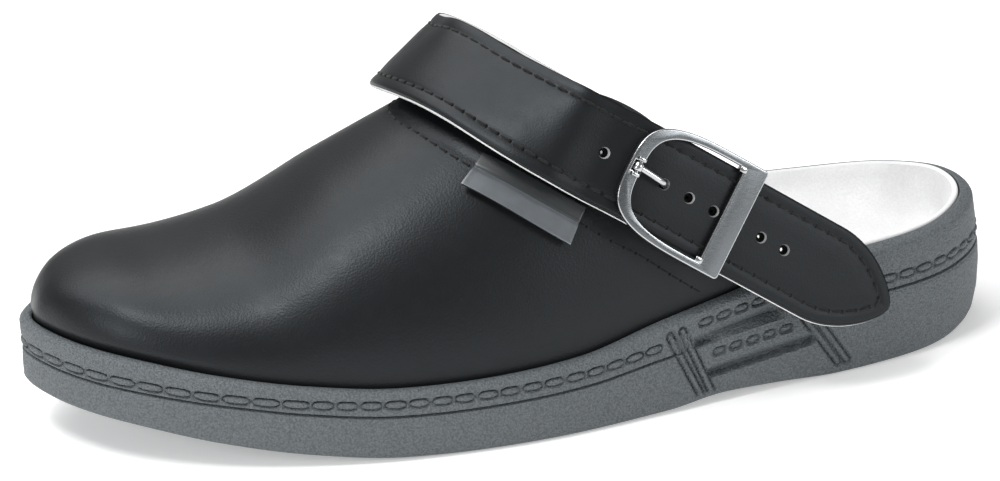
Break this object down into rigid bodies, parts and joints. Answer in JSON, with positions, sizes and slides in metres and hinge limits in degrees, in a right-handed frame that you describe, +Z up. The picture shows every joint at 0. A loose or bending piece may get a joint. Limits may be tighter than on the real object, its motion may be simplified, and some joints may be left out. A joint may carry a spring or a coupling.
{
  "type": "chef clog",
  "caption": "Slip-on closed-toe work clog with a smooth leather upper, cupped light footbed, moulded rubber sole and a buckled heel strap swung over the instep. Left shoe.",
  "frame": {"origin": "middle of the heel's flat underside, on the floor", "axes": "+X from toe to heel, -Y to the outer side of the foot, +Z up"},
  "size_m": [0.2885, 0.1106, 0.1069],
  "materials": {
    "sole": "fine grained matt grey polyurethane",
    "footbed": "pale napped lining leather",
    "upper": "black smooth leather, soft sheen",
    "heel_strap": "black smooth leather with a pale cut edge",
    "buckle_strap": "black smooth leather",
    "buckle_frame": "nickel plated, satin flats and bright bevels",
    "buckle_prong": "nickel plated wire",
    "outer_rivet": "nickel plated",
    "inner_rivet": "nickel plated",
    "tag": "dark grey satin label, left bare"
  },
  "bodies": {
    "root": {"sole": "sole", "footbed": "footbed", "upper": "upper", "heel_strap": "heel_strap", "buckle_strap": "buckle_strap", "buckle_frame": "buckle_frame", "buckle_prong": "buckle_prong", "outer_rivet": "outer_rivet", "inner_rivet": "inner_rivet", "tag": "tag"}
  },
  "joints": []
}
